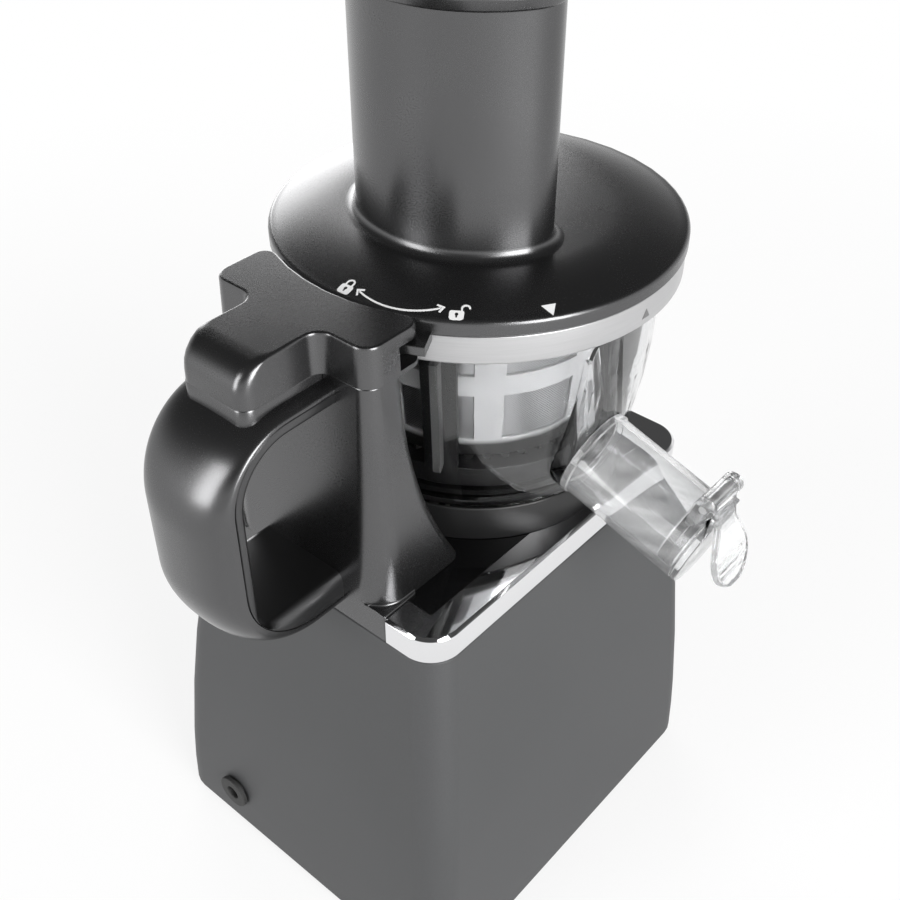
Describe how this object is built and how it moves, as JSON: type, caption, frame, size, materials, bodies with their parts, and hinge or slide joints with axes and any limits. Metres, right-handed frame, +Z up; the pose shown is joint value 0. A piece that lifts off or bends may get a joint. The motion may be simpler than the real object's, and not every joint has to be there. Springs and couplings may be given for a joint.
{
  "type": "cold press juicer",
  "caption": "Upright slow juicer: clear bowl with strainer and screw, locking lid with feed tube, capped spout and loop handle.",
  "frame": {"origin": "point on the table under the drive axis", "axes": "+Z up along the drive axis, +Y towards the handle, -X towards the juice spout"},
  "size_m": [0.2314, 0.238, 0.426],
  "materials": {
    "housing": "fine satin grey",
    "dark_satin": "dark charcoal satin",
    "black_gloss": "glossy black",
    "black_plastic": "matt black",
    "trim_chrome": "mirror",
    "rim_silver": "satin silver",
    "clear": "clear plastic",
    "mesh": "fine perforated sheet",
    "steel": "turned",
    "screw_grey": "smooth dark grey",
    "white_plastic": "natural white",
    "soft_black": "soft",
    "soft_grey": "silicone",
    "cast_grey": "cast",
    "motor_black": "satin",
    "board_green": "circuit board"
  },
  "bodies": {
    "base": {"base_housing": "housing", "bottom_plate": "black_plastic", "rubber_feet": "soft_black", "bottom_screws": "steel", "chrome_trim": "trim_chrome", "deck_plate": "black_gloss", "handle_column": "dark_satin", "handle_cap": "dark_satin", "grip_shell": "dark_satin", "grip_liner": "black_plastic", "lock_switch": "black_plastic", "motor": "motor_black", "gearbox": "cast_grey", "gearbox_screws": "steel", "control_board": "board_green", "knob_switch": "black_plastic", "cord_gland": "soft_black", "bowl_collar": "black_plastic", "juice_bowl": "clear", "juice_spout": "clear", "bowl_rim": "rim_silver", "shaft_seal": "soft_grey", "pulp_duct": "clear", "cap_pin": "steel", "strainer_frame": "black_plastic", "strainer_mesh": "mesh"},
    "auger_drive": {"output_shaft": "steel", "auger": "screw_grey", "auger_gear": "white_plastic"},
    "motor_rotor": {"motor_shaft": "steel", "cooling_fan": "white_plastic"},
    "idler": {"idler_gear": "white_plastic"},
    "brush": {"brush_frame": "black_plastic", "brush_wipers": "soft_grey"},
    "lid": {"lid": "dark_satin", "feed_tube": "dark_satin", "lid_seal": "soft_grey"},
    "pusher": {"pusher": "dark_satin", "pusher_cap": "dark_satin"},
    "spout_flap": {"spout_cap": "clear", "cap_seal": "soft_black"},
    "knob": {"control_knob": "rim_silver"},
    "plunger": {"lock_plunger": "white_plastic"}
  },
  "joints": [
    {"name": "auger_spin", "type": "hinge", "parent": "base", "child": "auger_drive", "pos_m": [0, 0, 0.23], "axis": [0, 0, 1], "continuous": true},
    {"name": "motor_spin", "type": "hinge", "parent": "base", "child": "motor_rotor", "pos_m": [0, 0, 0.03], "axis": [0, 0, 1], "continuous": true},
    {"name": "idler_spin", "type": "hinge", "parent": "base", "child": "idler", "pos_m": [0, 0.0352, 0.219], "axis": [0, 0, 1], "continuous": true},
    {"name": "brush_spin", "type": "hinge", "parent": "base", "child": "brush", "pos_m": [0, 0, 0.219], "axis": [0, 0, 1], "continuous": true},
    {"name": "lid_twist", "type": "hinge", "parent": "base", "child": "lid", "pos_m": [0, 0, 0.297], "axis": [0, 0, 1], "range_deg": [0, 30]},
    {"name": "pusher_slide", "type": "slide", "parent": "lid", "child": "pusher", "axis": [0, 0, 1], "range_m": [0, 0.075]},
    {"name": "flap_hinge", "type": "hinge", "parent": "base", "child": "spout_flap", "pos_m": [-0.12213, 0.0102, 0.23497], "axis": [0, 1, 0], "range_deg": [0, 105]},
    {"name": "knob_turn", "type": "hinge", "parent": "base", "child": "knob", "pos_m": [0.08, 0.0187, 0.12], "axis": [1, 0, 0], "range_deg": [-45, 45]},
    {"name": "plunger_press", "type": "slide", "parent": "base", "child": "plunger", "axis": [0, 0, -1], "range_m": [0, 0.0015], "stiffness_N_per_m": 300, "springref_m": -0.002}
  ],
  "couplings": [
    {"joint": "motor_spin", "follows": "auger_spin", "ratio": 20},
    {"joint": "idler_spin", "follows": "auger_spin", "ratio": -1.6667},
    {"joint": "brush_spin", "follows": "auger_spin", "ratio": -0.45454}
  ]
}
